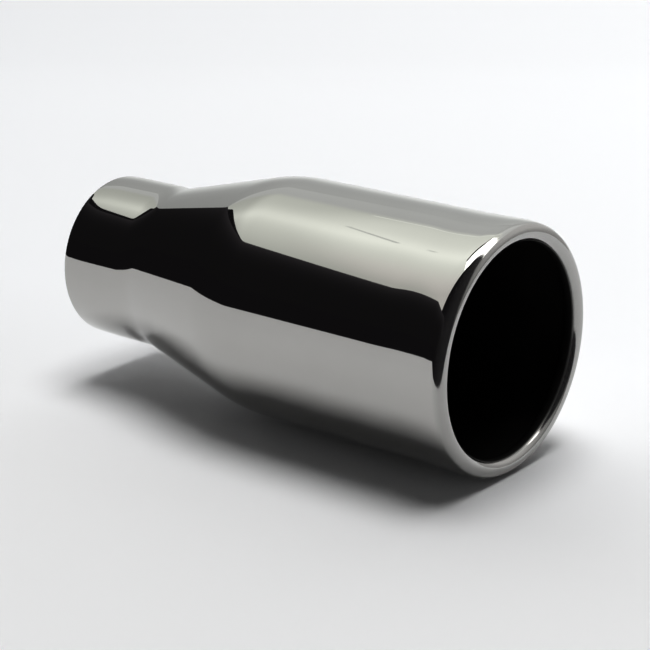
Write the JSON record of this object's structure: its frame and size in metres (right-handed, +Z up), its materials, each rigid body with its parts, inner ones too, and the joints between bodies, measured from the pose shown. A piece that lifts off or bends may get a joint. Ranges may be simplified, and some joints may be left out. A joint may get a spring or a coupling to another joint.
{
  "type": "exhaust tip",
  "caption": "Polished steel tail pipe end: a round tube with a rolled-in lip, tapering through a soft cone to a plain slip-on neck.",
  "frame": {"origin": "centre of the inlet's cut end, on the axis of the tube", "axes": "+X runs along the tube from the inlet to the rolled outlet, level as fitted and as it lies in the picture; +Z is up; the tube is round about X"},
  "size_m": [0.158, 0.0762, 0.0762],
  "materials": {
    "polished_steel": "stainless steel sheet, polished to a mirror outside and dark inside"
  },
  "bodies": {
    "root": {"tip_shell": "polished_steel"}
  },
  "joints": []
}
